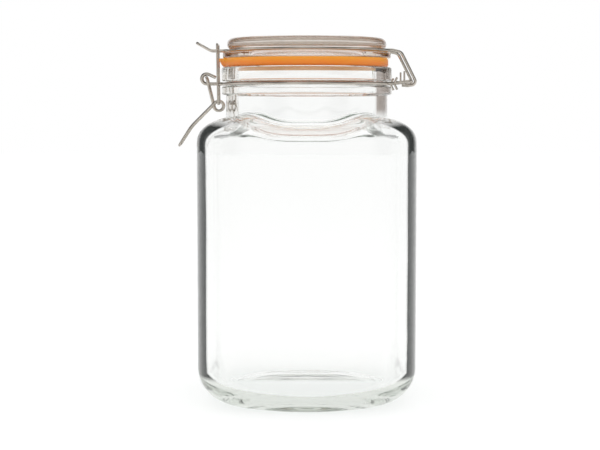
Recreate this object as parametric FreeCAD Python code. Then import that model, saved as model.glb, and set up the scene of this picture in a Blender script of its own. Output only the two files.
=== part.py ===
import FreeCAD, Part
import math
import os

from FreeCAD import Vector

# Clip-top storage jar: a square glass jar with a round neck, a glass lid on a rubber seal, and a wire
# clip that joins, hinges and locks them. Millimetres. The origin is on the jar's axis at the level that
# the jar stands on, +Z is up, -Y is the front face, -X is the clip and +X is the hinge.

# Glass jar: body
BODY_HALF = 60.9             # from the axis to the middle of a side
BODY_SQUARENESS = 3.9        # exponent of the outline: 2 is a circle, higher is squarer
FOOT_INSET = 13.4            # round edge that the jar stands on, in from the middle of a side
FOOT_WIDTH = 6.5             # flat standing ring inside that edge
PUSH_UP = 3.0                # how far the middle of the base is raised
HEEL_HEIGHT = 20.6           # from the foot up to the straight sides
HEEL_FULLNESS = 0.57         # weight of the heel's curve: 0.707 is an ellipse, higher is fuller
SIDE_HEIGHT = 123.2          # straight part of the sides
SHOULDER_RISE = 10.7         # shoulder at the neck, over the middle of a side
CORNER_RISE = 5.4            # how much higher it is over a corner
CORNER_SHARPNESS = 2.2       # higher keeps the raised part nearer to the corners
SHOULDER_FULLNESS = 1.3
WALL = 4.7
BASE_THICKNESS = 6.0

# Glass jar: neck and finish, from the bottom up
MOUTH_RADIUS = 39.5
NECK_WALL = 6.0
NECK_LENGTH = 16.5           # from the shoulder, over the middle of a side, to the bead
NECK_FILLET = 3.0
FINISH_REACH = 2.4           # bead and band, beyond the neck
BEAD_HEIGHT = 4.9
GROOVE_DEPTH = 2.3
GROOVE_SLACK = 0.9           # groove height beyond the wire's
BAND_HEIGHT = 7.9
FINISH_ROUNDING = 1.1

# Rubber seal
SEAL_HEIGHT = 4.8
SEAL_INSET = 2.0             # in from the finish
SEAL_SLACK = 0.4             # between the seal's bore and the lid's plug
SEAL_SEAT_GAP = 0.1
SEAL_ROUNDING = 1.2
TAB_REACH = 3.2
TAB_HALF_WIDTH = 8.0
TAB_TIP_THICKNESS = 1.2

# Glass lid
PLUG_CLEARANCE = 1.5
PLUG_DEPTH = 4.5
PLUG_WALL = 5.0
PLUG_ROUNDING = 1.2
FLANGE_INSET = 0.6           # in from the finish
FLANGE_THICKNESS = 3.5
FLANGE_ROUNDING = 0.9
WAIST_DEPTH = 5.2            # in from the flange
CROWN_INSET = 3.1            # in from the finish
CROWN_HEIGHT = 5.9
CROWN_ROUNDING = 3.0
CROWN_UNDERCUT = 2.2         # rounding of its lower edge
CROWN_RIM = 7.0
CROWN_DISH = 1.6
DISH_ROUNDING = 1.0
LID_SKIN = 4.2               # glass left between the dish on top and the hollow underneath
HOLLOW_ROUNDING = 2.0

# Wires
NECK_WIRE = 1.8
LID_WIRE = 1.6
LEVER_WIRE = 1.4
BAIL_WIRE = 1.1
FIT_GAP = 0.1                # wire lying in its glass groove
SIDE_GAP = 0.3               # between wires that pass each other in the clip
PIVOT_GAP = 0.3              # from a pin to the loop that pulls on it
HINGE_GAP = 0.5              # from the hinge bar to the hooks round it
PIN_OVERHANG = 0.9

# Hinge side; "out" is measured from the finish, away from the axis
HINGE_OUT = 10.1
HINGE_RISE = 1.3             # hinge axis above the neck wire
HINGE_HALF_WIDTH = 15.5      # to the neck wire's legs
HINGE_BEND = 2.0
NECK_LEG_ANGLE = 325.0       # where the legs leave the ring in the groove
NECK_LEG_BEND = 6.0
POST_OUT = 6.1
POST_HEIGHT = 6.2
POST_WIRE = 1.0
SPUR_WIRE = 1.2              # short bowed wire across each leg, beside the finish
SPUR_OUT = 0.4
SPUR_BOW = 1.7
SPUR_REACH = 3.4
LID_LEG_ANGLE = 325.0
LID_LEG_BEND = 8.0
LEG_LEVEL_OUT = -0.3         # where the lid wire's legs turn down
LEG_LEVEL_BEND = 6.0
KNEE_OUT = 4.5
KNEE_DROP = 1.1
KNEE_BEND = 4.0
HOOK_TAIL = 3.3
HOOK_END_ANGLE = -95.0

# Clip side; "out" as on the hinge side
TONGUE_HALF_WIDTH = 3.5
TONGUE_ANGLE = 200.0         # where the tongue leaves the lid wire's ring
TONGUE_BEND_OUT = 6.1
TONGUE_BEND = 5.0
TONGUE_TIP_OUT = 13.8
TONGUE_TIP_RISE = 4.3
TONGUE_ROOT_BEND = 4.0
CROSSBAR_OUT = 2.3
CROSSBAR_RISE = 3.6          # crossbar above the tongue, so that it can swing past the dead point
EYE_OUT = 1.8
EYE_DROP = 12.4              # eye below the neck wire
EYE_RADIUS = 2.7
CURL_HALF_WIDTH = 2.2
CURL_ANGLE = 190.0           # where the neck wire's ends leave the ring
CURL_EXIT_BEND = 4.0
CURL_OUT = 8.5
CURL_RADIUS = 2.8
CURL_TAIL = 4.2
CURL_END_ANGLE = 65.0
HANDLE_KNEE_OUT = 4.2        # beyond the jar's side
HANDLE_KNEE_RISE = 9.5       # above the straight part of the sides
HANDLE_KNEE_BEND = 20.0
HANDLE_TIP_OUT = 11.1        # beyond the jar's side
HANDLE_TIP_DROP = 1.2        # below the top of the straight part
HANDLE_TIP_HALF_WIDTH = 3.6
PIN_BEND = 0.8               # bends at the pins of the bail and the lever, in wire diameters
HANDLE_TIP_BEND = 2.9

FORM_OVERLAP = 1.0           # how far the body's closed form runs on, inside the neck
OUTLINE_POINTS = 32          # points that the body's rings are drawn through
CURL_CORNERS = 4             # corners of the paths round a curl, a hook, an eye and half a ring
HOOK_CORNERS = 3
EYE_CORNERS = 6
RING_CORNERS = 4
COIL_EASE = 0.98             # keeps an eye's arcs clear of each other along its rising path


# ---------------------------------------------------------------- helpers

def polar(radius, angle, z):
    return Vector(radius * math.cos(angle), radius * math.sin(angle), z)


def ring_curve(radius_at, height_at):
    """Closed smooth curve round the axis; radius and height are functions of the angle."""
    angles = [2 * math.pi * (i / OUTLINE_POINTS + 1 / 8) for i in range(OUTLINE_POINTS)]
    curve = Part.BSplineCurve()
    curve.interpolate(Points=[polar(radius_at(a), a, height_at(a)) for a in angles],
                      PeriodicFlag=True,
                      Parameters=[i / OUTLINE_POINTS for i in range(OUTLINE_POINTS + 1)])
    return curve


def quarters(curve_or_surface, *across):
    """The four pieces of a closed curve or surface, from corner to corner of the outline."""
    pieces = []
    for i in range(4):
        piece = curve_or_surface.copy()
        piece.segment(i / 4, (i + 1) / 4, *across)
        pieces.append(piece.toShape())
    return pieces


def flat_disc(curve):
    return Part.Face(Part.Wire(quarters(curve)))


def surface_through(curves, weights):
    """Faces between the curves, as a conic arc (three curves) or straight (two) across."""
    rows = [curve.getPoles() for curve in curves]
    first = curves[0]
    degree = len(curves) - 1
    surface = Part.BSplineSurface()
    surface.buildFromPolesMultsKnots(
        [list(column) for column in zip(*rows)],
        first.getMultiplicities(), [degree + 1, degree + 1], first.getKnots(), [0.0, 1.0],
        True, False, first.Degree, degree,
        [list(weights) for _ in rows[0]])
    return quarters(surface, 0.0, 1.0)


def revolved(points):
    """Solid of revolution from an outline of (radius, z) points; (radius, z, bulge) rounds the corner."""
    corners = [Vector(p[0], 0, p[1]) for p in points]
    roundings = [p[2] if len(p) > 2 else 0.0 for p in points]
    edges = rounded_edges(corners, roundings, closed=True)
    face = Part.Face(Part.Wire(edges))
    return face.revolve(Vector(0, 0, 0), Vector(0, 0, 1), 360)


def rounded_edges(points, radii, closed=False):
    """Straight edges through the points, with each corner replaced by a tangent arc of its radius."""
    count = len(points)
    starts, ends, arcs = [], [], []
    for i, point in enumerate(points):
        if not closed and i in (0, count - 1) or radii[i] <= 0:
            starts.append(point)
            ends.append(point)
            arcs.append(None)
            continue
        into = (point - points[i - 1]).normalize()
        out = (points[(i + 1) % count] - point).normalize()
        turn = into.getAngle(out)
        reach = radii[i] * math.tan(turn / 2)
        start = point - into * reach
        end = point + out * reach
        inward = (out - into).normalize()
        middle = point + inward * (radii[i] / math.cos(turn / 2) - radii[i])
        starts.append(start)
        ends.append(end)
        arcs.append(Part.Arc(start, middle, end).toShape())
    edges = []
    last = count if closed else count - 1
    for i in range(count):
        if arcs[i]:
            edges.append(arcs[i])
        following = (i + 1) % count
        if i < last and ends[i].distanceToPoint(starts[following]) > 1e-5:
            edges.append(Part.LineSegment(ends[i], starts[following]).toShape())
    return edges


def bent_wire(path, diameter):
    """Round wire along a path of (x, y, z, bend radius) corners."""
    points = [Vector(*p[:3]) for p in path]
    edges = rounded_edges(points, [p[3] for p in path])
    spine = Part.Wire(edges)
    along = (points[1] - points[0]).normalize()
    section = Part.Wire(Part.Circle(points[0], along, diameter / 2).toShape())
    return spine.makePipeShell([section], True, False)


def arc_corners(centre, radius, start, end, corners):
    """Corners of the path that runs round an arc; angles in degrees, in the arc's own plane."""
    step = math.radians(end - start) / corners
    out = radius / math.cos(step / 2)
    angles = [math.radians(start) + step * (i + 0.5) for i in range(corners)]
    return [(centre[0] + out * math.cos(a), centre[1] + out * math.sin(a)) for a in angles]


def beyond_arc(centre, radius, angle, length):
    """Point on the tangent at an arc's end, length further on in the direction of growing angle."""
    a = math.radians(angle)
    return (centre[0] + radius * math.cos(a) - length * math.sin(a),
            centre[1] + radius * math.sin(a) + length * math.cos(a))


def mirrored(path):
    """The path followed by its mirror image across the XZ plane, as one path from end to end."""
    return path + [(x, -y, z, r) for x, y, z, r in reversed(path)]


# ---------------------------------------------------------------- sizes that follow from the others

shoulder_start = HEEL_HEIGHT + SIDE_HEIGHT
shoulder_top = shoulder_start + SHOULDER_RISE
bead_bottom = shoulder_top + NECK_LENGTH
groove_bottom = bead_bottom + BEAD_HEIGHT
groove_top = groove_bottom + NECK_WIRE + GROOVE_SLACK
rim_top = groove_top + BAND_HEIGHT
foot_radius = BODY_HALF - FOOT_INSET
neck_radius = MOUTH_RADIUS + NECK_WALL
finish_radius = neck_radius + FINISH_REACH
groove_radius = finish_radius - GROOVE_DEPTH

seal_radius = finish_radius - SEAL_INSET
seal_bottom = rim_top + SEAL_SEAT_GAP
flange_bottom = seal_bottom + SEAL_HEIGHT
flange_top = flange_bottom + FLANGE_THICKNESS
flange_radius = finish_radius - FLANGE_INSET
waist_radius = flange_radius - WAIST_DEPTH
crown_radius = finish_radius - CROWN_INSET
crown_bottom = flange_top + LID_WIRE + 2 * FIT_GAP
crown_top = crown_bottom + CROWN_HEIGHT
plug_radius = MOUTH_RADIUS - PLUG_CLEARANCE
plug_bottom = flange_bottom - PLUG_DEPTH

neck_wire_z = (groove_bottom + groove_top) / 2
neck_wire_radius = groove_radius + FIT_GAP + NECK_WIRE / 2
lid_wire_z = (flange_top + crown_bottom) / 2
lid_wire_radius = waist_radius + FIT_GAP + LID_WIRE / 2

# Widths across the clip, from the middle out: neck wire's curls, lever's arms, lever's handle, bail
coil_pitch = LEVER_WIRE + FIT_GAP
lever_half_width = CURL_HALF_WIDTH + NECK_WIRE / 2 + SIDE_GAP + LEVER_WIRE / 2
bail_half_width = lever_half_width + coil_pitch + LEVER_WIRE / 2 + SIDE_GAP + BAIL_WIRE / 2

# Pivots and ends of the clip and the hinge, in the XZ plane
hinge_axis = (finish_radius + HINGE_OUT, neck_wire_z + HINGE_RISE)
curl_centre = (-finish_radius - CURL_OUT, neck_wire_z + CURL_RADIUS)
lever_pivot = (curl_centre[0],
               curl_centre[1] + CURL_RADIUS - NECK_WIRE / 2 - LEVER_WIRE / 2 - PIVOT_GAP)
eye_centre = (-finish_radius - EYE_OUT, neck_wire_z - EYE_DROP)
bail_pivot = (eye_centre[0],
              eye_centre[1] + EYE_RADIUS - LEVER_WIRE / 2 - BAIL_WIRE / 2 - PIVOT_GAP)
crossbar = (-finish_radius - CROSSBAR_OUT, lid_wire_z + CROSSBAR_RISE)
handle_knee = (-BODY_HALF - HANDLE_KNEE_OUT, shoulder_start + HANDLE_KNEE_RISE)
handle_tip = (-BODY_HALF - HANDLE_TIP_OUT, shoulder_start - HANDLE_TIP_DROP)


# ---------------------------------------------------------------- glass

def outline_radius(angle, half):
    """Distance from the axis to a square outline with bowed sides and round corners."""
    n = BODY_SQUARENESS
    return half / (abs(math.cos(angle)) ** n + abs(math.sin(angle)) ** n) ** (1 / n)


def shoulder_height(angle):
    """Height at which the shoulder meets the neck; it is raised over the corners."""
    return shoulder_top + CORNER_RISE * abs(math.sin(2 * angle)) ** (2 * CORNER_SHARPNESS)


def bottle_form(inset, floor):
    """Closed form of the body: foot, heel, straight sides and shoulder, moved inward by inset."""
    half = BODY_HALF - inset
    foot = foot_radius - inset
    roof_radius = (neck_radius + MOUTH_RADIUS) / 2 - inset
    cap_z = shoulder_top + CORNER_RISE + FORM_OVERLAP

    def side(angle):
        return outline_radius(angle, half)

    def roof(angle):
        return shoulder_height(angle) - inset

    foot_edge = ring_curve(lambda a: foot, lambda a: floor)
    heel_guide = ring_curve(side, lambda a: floor)
    heel_edge = ring_curve(side, lambda a: HEEL_HEIGHT)
    shoulder_edge = ring_curve(side, lambda a: shoulder_start)
    shoulder_guide = ring_curve(side, roof)
    neck_edge = ring_curve(lambda a: roof_radius, roof)
    cap_edge = ring_curve(lambda a: roof_radius, lambda a: cap_z)

    faces = surface_through([foot_edge, heel_guide, heel_edge], [1, HEEL_FULLNESS, 1])
    faces += surface_through([heel_edge, shoulder_edge], [1, 1])
    faces += surface_through([shoulder_edge, shoulder_guide, neck_edge], [1, SHOULDER_FULLNESS, 1])
    faces += surface_through([neck_edge, cap_edge], [1, 1])
    faces += [flat_disc(foot_edge), flat_disc(cap_edge)]
    shell = Part.makeCompound(faces)
    shell.sewShape()
    solid = Part.Solid(Part.Shell(shell.Faces))
    if solid.Volume < 0:
        solid.reverse()
    return solid


def edges_round(shape, radius, low, high):
    """Edges that run round the shape on a cylinder of this radius, between two heights."""
    found = []
    for edge in shape.Edges:
        first, last = edge.ParameterRange
        spots = [edge.valueAt(first + (last - first) * share) for share in (0.1, 0.5, 0.9)]
        on_cylinder = all(abs(math.hypot(p.x, p.y) - radius) < 0.01 and low < p.z < high
                          for p in spots)
        if on_cylinder and edge.Curve.TypeId != "Part::GeomLine":
            found.append(edge)
    return found


def make_glass_jar():
    outside = bottle_form(0.0, 0.0).fuse(revolved([
        (0, shoulder_start), (MOUTH_RADIUS, shoulder_start),
        (neck_radius, shoulder_top - WALL), (neck_radius, bead_bottom),
        (finish_radius, bead_bottom, FINISH_ROUNDING),
        (finish_radius, groove_bottom, FINISH_ROUNDING), (groove_radius, groove_bottom),
        (groove_radius, groove_top), (finish_radius, groove_top, FINISH_ROUNDING),
        (finish_radius, rim_top, FINISH_ROUNDING), (0, rim_top)]))
    outside = outside.makeFillet(
        NECK_FILLET,
        edges_round(outside, neck_radius, shoulder_top - WALL, bead_bottom - FINISH_ROUNDING))
    inside = bottle_form(WALL, BASE_THICKNESS).fuse(
        Part.makeCylinder(MOUTH_RADIUS, rim_top, Vector(0, 0, shoulder_start)))
    inside = inside.makeFillet(
        NECK_FILLET, edges_round(inside, MOUTH_RADIUS, shoulder_start, bead_bottom))
    jar = outside.cut(inside)
    hollow_radius = foot_radius - FOOT_WIDTH
    dome_radius = (hollow_radius ** 2 + PUSH_UP ** 2) / (2 * PUSH_UP)
    dome = Part.makeSphere(dome_radius, Vector(0, 0, PUSH_UP - dome_radius))
    return jar.cut(dome)


def make_glass_lid():
    hollow_top = crown_top - CROWN_DISH - LID_SKIN
    hollow_radius = plug_radius - PLUG_WALL
    dish_radius = crown_radius - CROWN_RIM
    return revolved([
        (0, crown_top - CROWN_DISH), (dish_radius - CROWN_DISH, crown_top - CROWN_DISH, CROWN_DISH),
        (dish_radius, crown_top, DISH_ROUNDING),
        (crown_radius, crown_top, CROWN_ROUNDING), (crown_radius, crown_bottom, CROWN_UNDERCUT),
        (waist_radius, crown_bottom), (waist_radius, flange_top),
        (flange_radius, flange_top, FLANGE_ROUNDING), (flange_radius, flange_bottom, FLANGE_ROUNDING),
        (plug_radius, flange_bottom), (plug_radius, plug_bottom, PLUG_ROUNDING),
        (hollow_radius, plug_bottom, PLUG_ROUNDING),
        (hollow_radius, hollow_top, HOLLOW_ROUNDING), (0, hollow_top)])


# ---------------------------------------------------------------- rubber

def make_seal():
    bore = plug_radius + SEAL_SLACK
    ring = revolved([
        (bore, seal_bottom), (seal_radius, seal_bottom, SEAL_ROUNDING),
        (seal_radius, flange_bottom, SEAL_ROUNDING), (bore, flange_bottom)])
    middle = seal_bottom + SEAL_HEIGHT / 2
    root = seal_radius - TAB_REACH
    tip = seal_radius + TAB_REACH
    wedge = Part.Face(Part.makePolygon([
        Vector(-root, 0, flange_bottom - SEAL_ROUNDING / 2),
        Vector(-tip, 0, middle + TAB_TIP_THICKNESS / 2),
        Vector(-tip, 0, middle - TAB_TIP_THICKNESS / 2),
        Vector(-root, 0, seal_bottom + SEAL_ROUNDING / 2),
        Vector(-root, 0, flange_bottom - SEAL_ROUNDING / 2)]))
    wedge = wedge.extrude(Vector(0, 2 * TAB_HALF_WIDTH, 0))
    wedge.translate(Vector(0, -TAB_HALF_WIDTH, 0))
    plan = Part.Face(Part.Wire(rounded_edges(
        [Vector(-root, TAB_HALF_WIDTH, seal_bottom), Vector(-tip, TAB_HALF_WIDTH, seal_bottom),
         Vector(-tip, -TAB_HALF_WIDTH, seal_bottom), Vector(-root, -TAB_HALF_WIDTH, seal_bottom)],
        [0, TAB_REACH, TAB_REACH, 0], closed=True)))
    tab = wedge.common(plan.extrude(Vector(0, 0, SEAL_HEIGHT)))
    return ring.fuse(tab).removeSplitter()


# ---------------------------------------------------------------- wires

def ring_exit(radius, angle, half_width, bend, z):
    """Corner where a straight leg at y = -half_width leaves a ring that it meets at angle (degrees)."""
    a = math.radians(angle)
    away = (radius * abs(math.sin(a)) - half_width) / abs(math.cos(a))
    x = radius * math.cos(a) + math.copysign(away * abs(math.sin(a)), math.cos(a))
    return (x, -half_width, z, bend)


def half_ring(radius, start, end, z):
    """Corners of the near half of a ring, from angle to angle (degrees), on the -Y side."""
    return [(x, y, z, radius) for x, y in arc_corners((0, 0), radius, start, end, RING_CORNERS)]


def make_neck_wire():
    curl = arc_corners(curl_centre, CURL_RADIUS, 270, CURL_END_ANGLE, CURL_CORNERS)
    tail = beyond_arc(curl_centre, CURL_RADIUS, CURL_END_ANGLE, -CURL_TAIL)
    y = -CURL_HALF_WIDTH
    path = [(tail[0], y, tail[1], 0)]
    path += [(x, y, z, CURL_RADIUS) for x, z in reversed(curl)]
    path += [ring_exit(neck_wire_radius, CURL_ANGLE, CURL_HALF_WIDTH, CURL_EXIT_BEND, neck_wire_z)]
    path += half_ring(neck_wire_radius, CURL_ANGLE, NECK_LEG_ANGLE, neck_wire_z)
    path += [ring_exit(neck_wire_radius, NECK_LEG_ANGLE, HINGE_HALF_WIDTH, NECK_LEG_BEND,
                       neck_wire_z)]
    path += [(hinge_axis[0], -HINGE_HALF_WIDTH, hinge_axis[1], HINGE_BEND)]
    wire = bent_wire(mirrored(path), NECK_WIRE)
    spur_x = finish_radius + SPUR_OUT
    post_foot = neck_wire_z + HINGE_RISE / 2
    for side in (-1, 1):
        post = Part.makeCylinder(POST_WIRE / 2, POST_HEIGHT,
                                 Vector(finish_radius + POST_OUT, side * HINGE_HALF_WIDTH, post_foot))
        spur_y = side * (HINGE_HALF_WIDTH + NECK_WIRE / 2)
        spur = bent_wire([(spur_x + SPUR_BOW, spur_y, neck_wire_z + SPUR_REACH, 0),
                          (spur_x, spur_y, neck_wire_z, SPUR_REACH),
                          (spur_x + SPUR_BOW, spur_y, neck_wire_z - SPUR_REACH, 0)], SPUR_WIRE)
        wire = wire.fuse(post).fuse(spur)
    return wire


def make_lid_wire():
    hook_half_width = HINGE_HALF_WIDTH - NECK_WIRE / 2 - SIDE_GAP - LID_WIRE / 2
    y = -hook_half_width
    hook_radius = NECK_WIRE / 2 + HINGE_GAP + LID_WIRE / 2
    knee = (finish_radius + KNEE_OUT, lid_wire_z - KNEE_DROP)
    reach = math.hypot(hinge_axis[0] - knee[0], hinge_axis[1] - knee[1])
    to_axis = math.degrees(math.atan2(hinge_axis[1] - knee[1], hinge_axis[0] - knee[0]))
    leg_angle = to_axis + math.degrees(math.asin(hook_radius / reach))
    hook = arc_corners(hinge_axis, hook_radius, leg_angle + 90, HOOK_END_ANGLE, HOOK_CORNERS)
    tail = beyond_arc(hinge_axis, hook_radius, HOOK_END_ANGLE, -HOOK_TAIL)
    path = [(tail[0], y, tail[1], 0)]
    path += [(x, y, z, hook_radius) for x, z in reversed(hook)]
    path += [(knee[0], y, knee[1], KNEE_BEND),
             (finish_radius + LEG_LEVEL_OUT, y, lid_wire_z, LEG_LEVEL_BEND)]
    path += [ring_exit(lid_wire_radius, LID_LEG_ANGLE, hook_half_width, LID_LEG_BEND, lid_wire_z)]
    path += reversed(half_ring(lid_wire_radius, TONGUE_ANGLE, LID_LEG_ANGLE, lid_wire_z))
    path += [ring_exit(lid_wire_radius, TONGUE_ANGLE, TONGUE_HALF_WIDTH, TONGUE_ROOT_BEND,
                       lid_wire_z)]
    path += [(-finish_radius - TONGUE_BEND_OUT, -TONGUE_HALF_WIDTH, lid_wire_z, TONGUE_BEND),
             (-finish_radius - TONGUE_TIP_OUT, -TONGUE_HALF_WIDTH, lid_wire_z + TONGUE_TIP_RISE,
              TONGUE_HALF_WIDTH)]
    return bent_wire(mirrored(path), LID_WIRE)


def make_bail():
    y = -bail_half_width
    pin_end = lever_half_width - LEVER_WIRE / 2 - PIN_OVERHANG
    path = [(bail_pivot[0], -pin_end, bail_pivot[1], 0),
            (bail_pivot[0], y, bail_pivot[1], BAIL_WIRE * PIN_BEND),
            (crossbar[0], y, crossbar[1], BAIL_WIRE * PIN_BEND)]
    return bent_wire(mirrored(path), BAIL_WIRE)


def make_lever():
    y = lever_half_width
    pin_end = CURL_HALF_WIDTH - NECK_WIRE / 2 - PIN_OVERHANG
    reach = math.hypot(lever_pivot[0] - eye_centre[0], lever_pivot[1] - eye_centre[1])
    to_eye = math.degrees(math.atan2(eye_centre[1] - lever_pivot[1], eye_centre[0] - lever_pivot[0]))
    arm_angle = to_eye - math.degrees(math.asin(EYE_RADIUS / reach))
    handle_reach = math.hypot(handle_knee[0] - eye_centre[0], handle_knee[1] - eye_centre[1])
    from_eye = math.degrees(math.atan2(handle_knee[1] - eye_centre[1], handle_knee[0] - eye_centre[0]))
    leave = from_eye - math.degrees(math.acos(EYE_RADIUS / handle_reach)) + 360
    arrive = arm_angle - 90
    while leave < arrive + 180:
        leave += 360
    coil = arc_corners(eye_centre, EYE_RADIUS, arrive, leave, EYE_CORNERS)
    half = [(lever_pivot[0], -y, lever_pivot[1], LEVER_WIRE * PIN_BEND)]
    for i, (x, z) in enumerate(coil):
        half.append((x, -y - coil_pitch * (i + 0.5) / EYE_CORNERS, z, EYE_RADIUS * COIL_EASE))
    half += [(handle_knee[0], -y - coil_pitch, handle_knee[1], HANDLE_KNEE_BEND),
             (handle_tip[0], -HANDLE_TIP_HALF_WIDTH, handle_tip[1], HANDLE_TIP_BEND)]
    path = [(lever_pivot[0], -pin_end, lever_pivot[1], 0)] + half
    return bent_wire(mirrored(path), LEVER_WIRE)


shapes = {
    "glass_jar": make_glass_jar(),
    "glass_lid": make_glass_lid(),
    "seal": make_seal(),
    "neck_wire": make_neck_wire(),
    "lid_wire": make_lid_wire(),
    "bail": make_bail(),
    "lever": make_lever(),
}
os.makedirs("parts", exist_ok=True)
for name, shape in shapes.items():
    print(name, shape.ShapeType, len(shape.Solids), shape.isValid(), round(shape.Volume, 1),
          shape.BoundBox)
    shape.exportStep("parts/" + name + ".step")
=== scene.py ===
import math

import bmesh
import bpy
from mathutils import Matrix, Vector


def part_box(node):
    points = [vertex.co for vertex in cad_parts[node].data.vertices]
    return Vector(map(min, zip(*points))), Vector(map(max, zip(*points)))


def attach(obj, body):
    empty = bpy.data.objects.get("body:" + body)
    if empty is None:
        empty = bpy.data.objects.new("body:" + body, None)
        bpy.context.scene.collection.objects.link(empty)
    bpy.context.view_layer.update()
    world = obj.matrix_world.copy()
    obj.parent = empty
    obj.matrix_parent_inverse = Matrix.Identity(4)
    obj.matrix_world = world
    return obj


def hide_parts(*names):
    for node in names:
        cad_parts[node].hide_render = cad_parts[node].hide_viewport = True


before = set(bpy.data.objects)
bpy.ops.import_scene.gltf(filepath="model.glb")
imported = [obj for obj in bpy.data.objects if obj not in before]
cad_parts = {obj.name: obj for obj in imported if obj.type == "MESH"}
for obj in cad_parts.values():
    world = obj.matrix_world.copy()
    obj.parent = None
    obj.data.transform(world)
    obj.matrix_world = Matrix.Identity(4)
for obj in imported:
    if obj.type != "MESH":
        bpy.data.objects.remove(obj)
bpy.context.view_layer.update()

# Clip-top storage jar: square glass jar with a round neck, glass lid, orange rubber seal and a
# steel wire clip. Metres, in the row's frame: the jar stands on z = 0, its front faces -Y, the
# clip is at -X and the hinge at +X. The jar, the lid and the seal are drawn again here, smoother
# than the solids. The wires are the solids themselves. The sizes are the part's own, except where
# a note beside them names the solid.

MM = 0.001

# Camera: metres and degrees, a little above the shoulder and tilted down
CAMERA_DISTANCE = 0.7976
CAMERA_HEIGHT = 0.1656
CAMERA_PITCH = 3.917
LENS = 84.46
SHIFT_X = -0.0113
SHIFT_Y = -0.04

# Glass jar, body: millimetres
BODY_HALF = 60.9
BODY_SQUARENESS = 3.9
FOOT_RADIUS = 47.5
FOOT_WIDTH = 6.5
PUSH_UP = 3.0
HEEL_HEIGHT = 20.6
HEEL_FULLNESS = 0.57
SHOULDER_START = 143.8
SHOULDER_TOP = 154.5
CORNER_RISE = 5.4
CORNER_SHARPNESS = 2.2
SHOULDER_FULLNESS = 1.3
SHOULDER_THINNING = 0.85     # of the wall, under the shoulder; the solid has 1.0
WALL = 4.1                   # the solid has 4.7
BASE_THICKNESS = 6.0
RING_BORDER = 1.0            # plain edge on both sides of the knurling
RING_EDGE_RISE = 0.12
FLUTE_DEPTH = 0.3            # knurled standing ring; the solid's is plain
SOFT_EDGE = 0.5              # glass corners that the solid leaves sharp

# Glass jar, neck and finish
MOUTH_RADIUS = 39.5
NECK_RADIUS = 45.5
NECK_FILLET = 1.6            # the solid has 3.0
FINISH_RADIUS = 47.9
GROOVE_RADIUS = 45.6
BEAD_BOTTOM = 171.0
BEAD_HEIGHT = 4.9
GROOVE_HEIGHT = 2.7
BAND_HEIGHT = 7.9
FINISH_ROUNDING = 1.1

# Glass lid
PLUG_RADIUS = 38.0
PLUG_DEPTH = 4.5
PLUG_WALL = 5.0
FLANGE_RADIUS = 47.3
FLANGE_THICKNESS = 3.5
WAIST_RADIUS = 42.1
WAIST_HEIGHT = 1.8
CROWN_RADIUS = 44.8
CROWN_HEIGHT = 5.9
CROWN_ROUNDING = 3.0
CROWN_UNDERCUT = 2.2
CROWN_RIM = 7.0
CROWN_DISH = 1.6
LID_SKIN = 4.2
DISH_ROUNDING = 1.0
FLANGE_ROUNDING = 0.9
PLUG_ROUNDING = 1.2
HOLLOW_ROUNDING = 2.0

# Rubber seal
SEAL_RADIUS = 45.9
SEAL_HOLE = 38.4
SEAL_ROUNDING = 1.2
LIP_RADIUS = 39.25
LIP_DEPTH = 2.8              # the solid has no lip
TAB_REACH = 3.2
TAB_HALF_WIDTH = 8.0
TAB_SLOPE = 3.0              # a fuller tab than the solid's, by this and the next three
TAB_START = 0.9              # of the seal's radius
TAB_MARGIN = 0.3             # inside the rounding, drawn out with it
TAB_LOW_REACH = 0.35         # of the reach, at the tab's lower edge

# How finely the shapes are drawn
SEGMENTS = 144               # round the glass
DOME_STEPS = 12
HEEL_STEPS = 16
INNER_HEEL_STEPS = 14
SIDE_STEPS = 18
ROUND_STEPS = 4              # of a small rounding
FLOOR_STEPS = 8
FILLET_STEPS = 6
SHOULDER_FINE = 90           # steps of the shoulder's curve before it is thinned out
SHOULDER_SKIP = 5            # one in this many is kept
SHOULDER_POINTS = 20         # and every angle ends with as many
CUT_MARGIN = 0.05
SHARP_ANGLE = 38
SEAL_SHARP_ANGLE = 60

# Clear glass
GLASS_BOUNCES = 32           # of light inside it
GLASS_IOR = 1.5
RIPPLE_SCALE = 38.0
RIPPLE_STRETCH = (1, 1, 0.45)
RIPPLE_STRENGTH = 0.05
RIPPLE_DEPTH = 0.002
TURNED_BACK = (0.25, 0.9)    # share of light turned back: painted shade starts, and is full
FIRST_TURN = 1.5             # ray depth below which a turn is the first one
CAST_TINT = (0.93, 0.94, 0.935, 1)
JAR_TINT_SCALE = 9.0
JAR_TINT = (0.992, 0.994, 0.992), (0.998, 0.998, 0.998)
JAR_ABSORBED = (0.55, 0.62, 0.55)
JAR_DENSITY = 5.0
LID_TINT_SCALE = 25.0
LID_TINT = (0.97, 0.96, 0.95), (1.0, 0.99, 0.985)
# Painted shade on the rays the lid's glass first turns back inside, patchy
LID_PAINTED_SHADES_SCALE = 40.0
LID_PAINTED_SHADES = (0.70, 0.66, 0.61), (0.95, 0.91, 0.86)
LID_ABSORBED = (0.62, 0.57, 0.52)
LID_DENSITY = 12.0

# Painted shade and painted light in the jar's glass, on rays it first turns back: dark in upright
# walls, lighter where level and higher up; places in metres
DARK_PAINTED_SHADE_SCALE = 14.0
DARK_PAINTED_SHADE = (0.025, 0.028, 0.026), (0.055, 0.060, 0.058)
PAINTED_LIGHT_LOW = (0.86, 0.87, 0.84)
PAINTED_LIGHT_HIGH = (1.0, 0.99, 0.98)
PAINTED_LIGHT_HEIGHTS = (0.03, 0.12)
CORNER_BESIDE = (0.020, 0.034)
FLAT_START = 0.25            # how level the glass is where the painted light starts
FLAT_START_CORNER = 0.50     # added over the corners
FLAT_SPAN = 0.22
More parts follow.
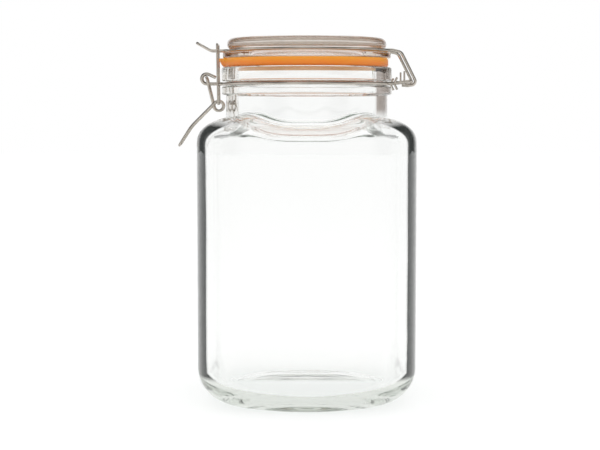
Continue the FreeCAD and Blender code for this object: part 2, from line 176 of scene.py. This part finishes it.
# Painted shade in the neck, grey and cloudy, above the neck heights
NECK_OUT = 0.0486
NECK_FROM = 0.145
NECK_SIDES = (0.02, -0.02)   # painted shade from +X, darker, to -X
NECK_HEIGHTS = (0.159, 0.163)
NECK_PAINTED_SHADE = (0.42, 0.37, 0.34), (0.90, 0.87, 0.84)
NECK_CLOUD_SCALE = 40.0
NECK_CLOUD = 0.7

# Steel wire
STREAK_SCALE = 900.0
STREAK_STRENGTH = 0.15
STREAK_DEPTH = 0.0001
PATCH_SCALE = 90.0
STEEL = (0.3, (0.40, 0.365, 0.32)), (0.7, (0.56, 0.515, 0.46))
STEEL_ROUGHNESS = (0.14, 0.3)

# Orange rubber, with painted shade: darker at its lower edge, lighter to its upper one
RUBBER = (0.0, (0.80, 0.19, 0.014)), (0.45, (0.92, 0.27, 0.014)), (1.0, (1.0, 0.38, 0.020))
RUBBER_CLOUD_SCALE = 60.0
RUBBER_CLOUD = 0.24
RUBBER_ROUGHNESS = 0.42
RUBBER_SCATTERED = 0.2
RUBBER_SCATTER = (0.004, 0.0015, 0.0005)
# Painted light: the lip in the mouth, which lies in shade, drawn paler
LIP_PAINTED_LIGHT = (1.0, 0.58, 0.28)
LIP_FADE = 0.4 * MM
GRAIN_SCALE = 1500.0
GRAIN_STRENGTH = 0.2
GRAIN_DEPTH = 0.0001

# Floor, light
FLOOR_GREY = 0.8
FLOOR_GLOW = 0.30            # seen by the camera and through glass, not by the jar
FLOOR_HALF = 4.0
LIGHT_OF_ROOM = 0.9
ROOM_DARK = (0.80, (0.10, 0.10, 0.10))
ROOM_BRIGHT = (0.93, (1.0, 1.0, 1.0))
LAMP_PLACE = (0, -0.3, 1.2)
LAMP_TURN = (-14, 0, 0)
LAMP_SIZE = 0.9
LAMP_POWER = 1.6

groove_bottom = BEAD_BOTTOM + BEAD_HEIGHT
groove_top = groove_bottom + GROOVE_HEIGHT
rim_top = groove_top + BAND_HEIGHT

scene = bpy.context.scene
scene.view_settings.view_transform = "Standard"
scene.cycles.max_bounces = GLASS_BOUNCES
scene.cycles.glossy_bounces = GLASS_BOUNCES
scene.cycles.transmission_bounces = GLASS_BOUNCES


# ---------------------------------------------------------------- shapes

def object_from(name, shape, sharp_angle=None):
    """The bmesh as an object at the origin, smooth but for the edges past the angle."""
    mesh = bpy.data.meshes.new(name)
    shape.to_mesh(mesh)
    shape.free()
    mesh.shade_smooth()
    if sharp_angle:
        mesh.set_sharp_from_angle(angle=math.radians(sharp_angle))
    piece = bpy.data.objects.new(name, mesh)
    scene.collection.objects.link(piece)
    return piece


def conic(start, guide, end, weight, steps):
    """Points of the conic arc from start to end, pulled towards guide."""
    points = []
    for i in range(steps + 1):
        t = i / steps
        a, b, c = (1 - t) ** 2, 2 * t * (1 - t) * weight, t * t
        points.append(tuple((a * p + b * q + c * r) / (a + b + c)
                            for p, q, r in zip(start, guide, end)))
    return points


def softened(corners, steps=ROUND_STEPS):
    """Points of an outline of (radius, z) corners; (radius, z, rounding) rounds the corner."""
    points = []
    for i, corner in enumerate(corners):
        if len(corner) < 3:
            points.append(corner)
            continue
        here = Vector(corner[:2])
        before = (Vector(corners[i - 1][:2]) - here).normalized()
        after = (Vector(corners[i + 1][:2]) - here).normalized()
        reach = corner[2] / math.tan(before.angle(after) / 2)
        full = math.sin(before.angle(after) / 2)
        points += conic(here + before * reach, here, here + after * reach, full, steps)
    return points


def evenly(start, end, steps):
    """Points between two (radius, z) points, without the ends."""
    return [tuple(a + (b - a) * i / steps for a, b in zip(start, end)) for i in range(1, steps)]


def outline_radius(angle, half):
    """From the axis to the side, at this angle round it."""
    n = BODY_SQUARENESS
    return half / (abs(math.cos(angle)) ** n + abs(math.sin(angle)) ** n) ** (1 / n)


def shoulder_height(angle):
    """The shoulder at the neck is highest over the corners."""
    return SHOULDER_TOP + CORNER_RISE * abs(math.sin(2 * angle)) ** (2 * CORNER_SHARPNESS)


def from_radius(points, radius):
    """The part of a curve that is drawn in towards the axis, cut off where it meets the radius."""
    kept = [p for p in points if p[0] > radius + CUT_MARGIN]
    inner = points[len(kept)]
    outer = kept[-1]
    share = (outer[0] - radius) / (outer[0] - inner[0])
    return kept + [(radius, outer[1] + (inner[1] - outer[1]) * share)]


def shoulder_to_neck(angle, inset, neck):
    """The shoulder's curve at this angle, with the fillet that carries it into the neck."""
    half = outline_radius(angle, BODY_HALF - inset)
    top = shoulder_height(angle) - inset * SHOULDER_THINNING
    inmost = (NECK_RADIUS + MOUTH_RADIUS) / 2 - inset
    curve = conic((half, SHOULDER_START), (half, top), (inmost, top), SHOULDER_FULLNESS,
                  SHOULDER_FINE)
    corner = from_radius(curve, neck)[-1]
    curve = from_radius(curve, neck + NECK_FILLET)
    fillet = conic(curve[-1], corner, (neck, corner[1] + NECK_FILLET), math.sqrt(0.5),
                   FILLET_STEPS)
    thinned = curve[:-1:SHOULDER_SKIP] + [curve[-1]]
    while len(thinned) < SHOULDER_POINTS:
        longest = max(range(len(thinned) - 1),
                      key=lambda i: math.dist(thinned[i], thinned[i + 1]))
        middle = tuple((a + b) / 2 for a, b in zip(thinned[longest], thinned[longest + 1]))
        thinned.insert(longest + 1, middle)
    return thinned[:SHOULDER_POINTS] + fillet[1:]


def jar_section(angle, step):
    """(radius, z) down the middle of the glass: base, outside, rim, inside and floor."""
    side = outline_radius(angle, BODY_HALF)
    inner_side = outline_radius(angle, BODY_HALF - WALL)
    hollow = FOOT_RADIUS - FOOT_WIDTH
    dome = (hollow ** 2 + PUSH_UP ** 2) / (2 * PUSH_UP)
    flute = FLUTE_DEPTH * (step % 2)

    points = []
    for i in range(1, DOME_STEPS):
        r = hollow * i / DOME_STEPS
        points.append((r, PUSH_UP - dome + math.sqrt(dome ** 2 - r ** 2)))
    points += [(hollow, RING_EDGE_RISE), (hollow + RING_BORDER, 0),
               (hollow + 2 * RING_BORDER, flute),
               (FOOT_RADIUS - 2 * RING_BORDER, flute), (FOOT_RADIUS - RING_BORDER, 0)]
    points += conic((FOOT_RADIUS, 0), (side, 0), (side, HEEL_HEIGHT), HEEL_FULLNESS, HEEL_STEPS)
    points += evenly((side, HEEL_HEIGHT), (side, SHOULDER_START), SIDE_STEPS)
    points += shoulder_to_neck(angle, 0, NECK_RADIUS)
    points += softened([
        (NECK_RADIUS, BEAD_BOTTOM - SOFT_EDGE), (NECK_RADIUS + SOFT_EDGE, BEAD_BOTTOM),
        (FINISH_RADIUS, BEAD_BOTTOM, FINISH_ROUNDING),
        (FINISH_RADIUS, groove_bottom, FINISH_ROUNDING),
        (GROOVE_RADIUS, groove_bottom), (GROOVE_RADIUS, groove_top),
        (FINISH_RADIUS, groove_top, FINISH_ROUNDING), (FINISH_RADIUS, rim_top, FINISH_ROUNDING),
        (MOUTH_RADIUS, rim_top, SOFT_EDGE), (MOUTH_RADIUS, BEAD_BOTTOM)])
    points += reversed(shoulder_to_neck(angle, WALL, MOUTH_RADIUS))
    points += reversed(evenly((inner_side, HEEL_HEIGHT), (inner_side, SHOULDER_START), SIDE_STEPS))
    points += conic((inner_side, HEEL_HEIGHT), (inner_side, BASE_THICKNESS),
                    (FOOT_RADIUS - WALL, BASE_THICKNESS), HEEL_FULLNESS, INNER_HEEL_STEPS)
    points += [((FOOT_RADIUS - WALL) * (1 - i / FLOOR_STEPS), BASE_THICKNESS)
               for i in range(1, FLOOR_STEPS)]
    return points


def drawn_jar():
    """The jar as rings drawn out of one another, from the base's middle to the floor inside."""
    shape = bmesh.new()
    ring = bmesh.ops.create_circle(shape, cap_ends=True, segments=SEGMENTS, radius=1.0)["verts"]
    angles = [math.atan2(v.co.y, v.co.x) for v in ring]
    sections = [jar_section(angle, step) for step, angle in enumerate(angles)]
    edges = shape.edges[:]
    for level in range(len(sections[0])):
        if level:
            made = bmesh.ops.extrude_edge_only(shape, edges=edges)["geom"]
            ring = [v for v in made if isinstance(v, bmesh.types.BMVert)]
            edges = [e for e in made if isinstance(e, bmesh.types.BMEdge)
                     and e.verts[0] in ring and e.verts[1] in ring]
        for vert in ring:
            angle = math.atan2(vert.co.y, vert.co.x)
            step = min(range(SEGMENTS), key=lambda i: abs(angles[i] - angle))
            radius, z = sections[step][level]
            vert.co = (radius * math.cos(angles[step]) * MM,
                       radius * math.sin(angles[step]) * MM, z * MM)
    bmesh.ops.contextual_create(shape, geom=edges)
    bmesh.ops.recalc_face_normals(shape, faces=shape.faces)
    return object_from("jar_glass", shape, SHARP_ANGLE)


def turned(name, corners, sharp_angle=SHARP_ANGLE):
    """A body of revolution, spun from its outline."""
    shape = bmesh.new()
    points = softened(corners, FILLET_STEPS)
    verts = [shape.verts.new((r * MM, 0, z * MM)) for r, z in points]
    edges = [shape.edges.new(pair) for pair in zip(verts, verts[1:])]
    bmesh.ops.spin(shape, geom=verts + edges, cent=(0, 0, 0), axis=(0, 0, 1),
                   angle=2 * math.pi, steps=SEGMENTS, use_merge=True)
    bmesh.ops.remove_doubles(shape, verts=shape.verts, dist=1e-6)
    bmesh.ops.recalc_face_normals(shape, faces=shape.faces)
    return object_from(name, shape, sharp_angle)


def turned_lid():
    flange_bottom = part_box("seal")[1].z / MM
    flange_top = flange_bottom + FLANGE_THICKNESS
    crown_bottom = flange_top + WAIST_HEIGHT
    crown_top = crown_bottom + CROWN_HEIGHT
    plug_bottom = flange_bottom - PLUG_DEPTH
    hollow = PLUG_RADIUS - PLUG_WALL
    hollow_top = crown_top - CROWN_DISH - LID_SKIN
    dish = CROWN_RADIUS - CROWN_RIM
    return turned("lid_glass", [
        (0, crown_top - CROWN_DISH), (dish - CROWN_DISH, crown_top - CROWN_DISH, CROWN_DISH),
        (dish, crown_top, DISH_ROUNDING),
        (CROWN_RADIUS, crown_top, CROWN_ROUNDING), (CROWN_RADIUS, crown_bottom, CROWN_UNDERCUT),
        (WAIST_RADIUS, crown_bottom), (WAIST_RADIUS, flange_top),
        (FLANGE_RADIUS, flange_top, FLANGE_ROUNDING),
        (FLANGE_RADIUS, flange_bottom, FLANGE_ROUNDING),
        (PLUG_RADIUS, flange_bottom), (PLUG_RADIUS, plug_bottom, PLUG_ROUNDING),
        (hollow, plug_bottom, PLUG_ROUNDING), (hollow, hollow_top, HOLLOW_ROUNDING),
        (0, hollow_top)])


def moulded_seal():
    """The flat ring with its lip in the mouth, drawn out into a pull tab on the clip's side."""
    low, high = (corner.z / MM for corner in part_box("seal"))
    middle = (SEAL_HOLE + SEAL_RADIUS) / 2
    seal = turned("seal_ring", [
        (middle, low), (SEAL_RADIUS, low, SEAL_ROUNDING), (SEAL_RADIUS, high, SEAL_ROUNDING),
        (SEAL_HOLE, high, SEAL_ROUNDING), (SEAL_HOLE, low - LIP_DEPTH),
        (LIP_RADIUS, low - LIP_DEPTH), (LIP_RADIUS, low), (middle, low)], SEAL_SHARP_ANGLE)
    edge = SEAL_RADIUS - SEAL_ROUNDING - TAB_MARGIN
    for vert in seal.data.vertices:
        x, y, z = (c / MM for c in vert.co)
        if x < -TAB_START * SEAL_RADIUS and math.hypot(x, y) > edge:
            width = min(1.0, max(0.0, (TAB_HALF_WIDTH - abs(y)) / TAB_SLOPE))
            rise = min(1.0, TAB_LOW_REACH + (z - low) / (high - low))
            vert.co.x -= (SEAL_RADIUS + TAB_REACH + x) * width * rise * MM
    return seal


# ---------------------------------------------------------------- node helpers

def new_material(name):
    material = bpy.data.materials.new(name)
    material.use_nodes = True
    material.node_tree.nodes.clear()
    return material, Tree(material.node_tree)


class Tree:
    """Short way to add and join nodes."""

    def __init__(self, tree):
        self.tree = tree

    def add(self, kind, inputs=None, **settings):
        node = self.tree.nodes.new(kind)
        for key, value in settings.items():
            setattr(node, key, value)
        for key, value in (inputs or {}).items():
            socket = node.inputs[key]
            if isinstance(value, bpy.types.NodeSocket):
                self.tree.links.new(value, socket)
            else:
                socket.default_value = value
        return node

    def math(self, operation, *values, clamp=False):
        node = self.add("ShaderNodeMath", dict(enumerate(values)), operation=operation)
        node.use_clamp = clamp
        return node.outputs[0]

    def ramp(self, fac, *stops):
        node = self.add("ShaderNodeValToRGB", {"Fac": fac})
        elements = node.color_ramp.elements
        while len(elements) < len(stops):
            elements.new(0.5)
        for element, (position, colour) in zip(elements, stops):
            element.position = position
            element.color = (*colour, 1)
        return node.outputs["Color"]

    def span(self, value, low, high):
        """0 at low to 1 at high, and no further."""
        return self.add("ShaderNodeMapRange",
                        {"Value": value, "From Min": low, "From Max": high}).outputs[0]

    def blend(self, share, first, second):
        """Colour from first to second."""
        colours = {key: (*value, 1) if isinstance(value, tuple) else value
                   for key, value in ((6, first), (7, second))}
        return self.add("ShaderNodeMix", {0: share, **colours}, data_type="RGBA").outputs[2]

    def noise(self, scale, detail=2.0, stretch=(1, 1, 1)):
        place = self.add("ShaderNodeTexCoord").outputs["Object"]
        spread = self.add("ShaderNodeMapping", {"Vector": place, "Scale": stretch})
        node = self.add("ShaderNodeTexNoise", {"Vector": spread.outputs[0], "Scale": scale,
                                               "Detail": detail})
        return node.outputs["Fac"]

    def height(self, low, high):
        """0 at the lower height to 1 at the upper, in metres along Z."""
        place = self.add("ShaderNodeTexCoord").outputs["Object"]
        z = self.add("ShaderNodeSeparateXYZ", {0: place}).outputs["Z"]
        return self.span(z, low, high)


# ---------------------------------------------------------------- materials

def clear_glass(name, tint, painted_shade, absorbed, density):
    """Clear glass: rays that it first turns back inside lose most of their light to a painted
    shade colour.
    """
    material, t = new_material(name)
    ripple = t.noise(RIPPLE_SCALE, 2.0, RIPPLE_STRETCH)
    bump = t.add("ShaderNodeBump", {"Height": ripple, "Strength": RIPPLE_STRENGTH,
                                    "Distance": RIPPLE_DEPTH})
    bounce = t.add("ShaderNodeFresnel",
                   {"IOR": GLASS_IOR, "Normal": bump.outputs[0]}).outputs[0]
    path = t.add("ShaderNodeLightPath")
    inside = t.math("MULTIPLY", t.add("ShaderNodeNewGeometry").outputs["Backfacing"],
                    t.math("LESS_THAN", path.outputs["Ray Depth"], FIRST_TURN))
    turned_back = t.math("MULTIPLY", t.span(bounce, *TURNED_BACK), inside)
    # painted shade on the rays the glass first turns back inside
    colour = t.blend(turned_back, tint(t), painted_shade(t))
    glass = t.add("ShaderNodeBsdfGlass",
                  {"Color": colour, "Roughness": 0.0, "IOR": GLASS_IOR,
                   "Normal": bump.outputs[0]})
    clear = t.add("ShaderNodeBsdfTransparent", {"Color": CAST_TINT})
    lamp = t.math("MAXIMUM", path.outputs["Is Shadow Ray"], path.outputs["Is Diffuse Ray"])
    mix = t.add("ShaderNodeMixShader", {0: lamp, 1: glass.outputs[0], 2: clear.outputs[0]})
    body = t.add("ShaderNodeVolumeAbsorption", {"Color": (*absorbed, 1), "Density": density})
    t.add("ShaderNodeOutputMaterial", {"Surface": mix.outputs[0], "Volume": body.outputs[0]})
    return material


def jar_tint(t):
    return t.blend(t.noise(JAR_TINT_SCALE, 1.0), *JAR_TINT)


def lid_tint(t):
    return t.blend(t.noise(LID_TINT_SCALE, 1.0), *LID_TINT)


def jar_painted_shade(t):
    """Painted shade in upright walls and grey neck, painted light where the glass lies flat."""
    place = t.add("ShaderNodeTexCoord")
    spot = t.add("ShaderNodeSeparateXYZ", {0: place.outputs["Object"]})
    facing = t.add("ShaderNodeSeparateXYZ", {0: place.outputs["Normal"]})
    level = t.math("ABSOLUTE", facing.outputs["Z"])
    rise = t.span(spot.outputs["Z"], *PAINTED_LIGHT_HEIGHTS)
    beside = t.math("MINIMUM", t.math("ABSOLUTE", spot.outputs["X"]),
                    t.math("ABSOLUTE", spot.outputs["Y"]))
    corner = t.math("MULTIPLY", rise, t.span(beside, *CORNER_BESIDE))
    starts = t.math("MULTIPLY_ADD", corner, FLAT_START_CORNER, FLAT_START)
    flat = t.span(level, starts, t.math("ADD", starts, FLAT_SPAN))
    # painted shade in the upright walls
    dark = t.blend(t.noise(DARK_PAINTED_SHADE_SCALE, 1.0), *DARK_PAINTED_SHADE)
    # painted light on level glass, lighter higher up
    pale = t.blend(rise, PAINTED_LIGHT_LOW, PAINTED_LIGHT_HIGH)
    walls = t.blend(flat, dark, pale)
    out = t.math("POWER", t.math("ADD", t.math("POWER", spot.outputs["X"], 2.0),
                                 t.math("POWER", spot.outputs["Y"], 2.0)), 0.5)
    neck = t.math("MULTIPLY", t.math("LESS_THAN", out, NECK_OUT),
                  t.math("GREATER_THAN", spot.outputs["Z"], NECK_FROM))
    # painted shade in the neck, grey and cloudy, darker towards +X
    cloudy = t.math("MULTIPLY_ADD", t.noise(NECK_CLOUD_SCALE), NECK_CLOUD, -NECK_CLOUD / 2)
    side = t.math("ADD", cloudy, t.span(spot.outputs["X"], *NECK_SIDES), clamp=True)
    grey = t.blend(side, *NECK_PAINTED_SHADE)
    grey = t.blend(t.span(spot.outputs["Z"], *NECK_HEIGHTS), PAINTED_LIGHT_HIGH, grey)
    return t.blend(neck, walls, grey)


# Painted shade for the lid's glass, patchy
def lid_painted_shade(t):
    return t.blend(t.noise(LID_PAINTED_SHADES_SCALE), *LID_PAINTED_SHADES)


def drawn_steel(name):
    material, t = new_material(name)
    streaks = t.noise(STREAK_SCALE, 3.0)
    patches = t.noise(PATCH_SCALE, 2.0)
    colour = t.ramp(patches, *STEEL)
    rough = t.add("ShaderNodeMapRange", {"Value": streaks, "To Min": STEEL_ROUGHNESS[0],
                                         "To Max": STEEL_ROUGHNESS[1]})
    bump = t.add("ShaderNodeBump", {"Height": streaks, "Strength": STREAK_STRENGTH,
                                    "Distance": STREAK_DEPTH})
    steel = t.add("ShaderNodeBsdfPrincipled",
                  {"Base Color": colour, "Metallic": 1.0, "Roughness": rough.outputs[0],
                   "Normal": bump.outputs[0]})
    t.add("ShaderNodeOutputMaterial", {"Surface": steel.outputs[0]})
    return material


def orange_rubber(name):
    material, t = new_material(name)
    low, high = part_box("seal")
    # painted shade: the rubber darker towards its lower edge
    rise = t.height(low.z, high.z)
    cloudy = t.math("MULTIPLY_ADD", t.noise(RUBBER_CLOUD_SCALE, 3.0),
                    RUBBER_CLOUD, -RUBBER_CLOUD / 2)
    shade = t.math("ADD", rise, cloudy, clamp=True)
    ring = t.ramp(shade, *RUBBER)
    # painted light on the lip, below the ring
    colour = t.blend(t.height(low.z - LIP_FADE, low.z), LIP_PAINTED_LIGHT, ring)
    grain = t.noise(GRAIN_SCALE, 2.0)
    bump = t.add("ShaderNodeBump", {"Height": grain, "Strength": GRAIN_STRENGTH,
                                    "Distance": GRAIN_DEPTH})
    rubber = t.add("ShaderNodeBsdfPrincipled",
                   {"Base Color": colour, "Roughness": RUBBER_ROUGHNESS,
                    "Normal": bump.outputs[0],
                    "Subsurface Weight": RUBBER_SCATTERED,
                    "Subsurface Radius": RUBBER_SCATTER,
                    "Subsurface Scale": 1.0})
    t.add("ShaderNodeOutputMaterial", {"Surface": rubber.outputs[0]})
    return material


def finish_with(piece, material):
    piece.data.materials.clear()
    piece.data.materials.append(material)


jar_glass = clear_glass("clear_jar_glass", jar_tint, jar_painted_shade,
                        JAR_ABSORBED, JAR_DENSITY)
lid_glass = clear_glass("clear_lid_glass", lid_tint, lid_painted_shade,
                        LID_ABSORBED, LID_DENSITY)
wire_steel = drawn_steel("wire_steel")
seal_rubber = orange_rubber("seal_rubber")

jar = drawn_jar()
finish_with(jar, jar_glass)
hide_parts("glass_jar")
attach(jar, "jar")

lid = turned_lid()
finish_with(lid, lid_glass)
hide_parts("glass_lid")
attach(lid, "lid")

seal = moulded_seal()
finish_with(seal, seal_rubber)
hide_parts("seal")
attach(seal, "lid")

for node in ("neck_wire", "lid_wire", "bail", "lever"):
    finish_with(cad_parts[node], wire_steel)


# ---------------------------------------------------------------- floor, light and camera

def seen_by(t, *rays):
    """1 for the named kinds of ray, 0 for the others."""
    path = t.add("ShaderNodeLightPath")
    seen = path.outputs[rays[0]]
    for ray in rays[1:]:
        seen = t.math("MAXIMUM", seen, path.outputs[ray])
    return seen


def pale_floor():
    shape = bmesh.new()
    bmesh.ops.create_grid(shape, x_segments=1, y_segments=1, size=FLOOR_HALF)
    floor = object_from("floor", shape)
    material, t = new_material("floor_paint")
    seen = seen_by(t, "Is Camera Ray", "Is Glossy Ray", "Is Transmission Ray")
    paint = t.add("ShaderNodeBsdfDiffuse", {"Color": (FLOOR_GREY, FLOOR_GREY, FLOOR_GREY, 1)})
    glow = t.add("ShaderNodeEmission", {"Color": (1, 1, 1, 1),
                                        "Strength": t.math("MULTIPLY", seen, FLOOR_GLOW)})
    both = t.add("ShaderNodeAddShader", {0: paint.outputs[0], 1: glow.outputs[0]})
    t.add("ShaderNodeOutputMaterial", {"Surface": both.outputs[0]})
    finish_with(floor, material)


def studio_world():
    """White backdrop; for reflections, bright from the four sides and above, dark between."""
    world = bpy.data.worlds.new("studio")
    world.use_nodes = True
    scene.world = world
    world.node_tree.nodes.clear()
    t = Tree(world.node_tree)
    way = t.add("ShaderNodeSeparateXYZ", {0: t.add("ShaderNodeTexCoord").outputs["Generated"]})
    level = t.math("MAXIMUM", t.math("ABSOLUTE", way.outputs["X"]),
                   t.math("ABSOLUTE", way.outputs["Y"]))
    boxes = t.ramp(t.math("MAXIMUM", level, way.outputs["Z"]), ROOM_DARK, ROOM_BRIGHT)
    mirrored = t.math("SUBTRACT", seen_by(t, "Is Glossy Ray"),
                      seen_by(t, "Is Transmission Ray"), clamp=True)
    background = seen_by(t, "Is Camera Ray", "Is Transmission Ray")
    plain = t.add("ShaderNodeMapRange",
                  {"Value": background, "To Min": LIGHT_OF_ROOM, "To Max": 1.0})
    strength = t.add("ShaderNodeMix", {"Factor": mirrored, "A": plain.outputs[0], "B": boxes})
    light = t.add("ShaderNodeBackground",
                  {"Color": (1, 1, 1, 1), "Strength": strength.outputs[0]})
    t.add("ShaderNodeOutputWorld", {"Surface": light.outputs[0]})


def lamp_above():
    data = bpy.data.lights.new("lamp_above", "AREA")
    data.shape = "RECTANGLE"
    data.size = data.size_y = LAMP_SIZE
    data.energy = LAMP_POWER
    lamp = bpy.data.objects.new("lamp_above", data)
    lamp.location = LAMP_PLACE
    lamp.rotation_euler = [math.radians(a) for a in LAMP_TURN]
    scene.collection.objects.link(lamp)


def front_camera():
    data = bpy.data.cameras.new("camera")
    data.lens = LENS
    data.shift_x, data.shift_y = SHIFT_X, SHIFT_Y
    camera = bpy.data.objects.new("camera", data)
    camera.location = (0, -CAMERA_DISTANCE, CAMERA_HEIGHT)
    camera.rotation_euler = (math.radians(90 - CAMERA_PITCH), 0, 0)
    scene.collection.objects.link(camera)
    scene.camera = camera


pale_floor()
studio_world()
lamp_above()
front_camera()
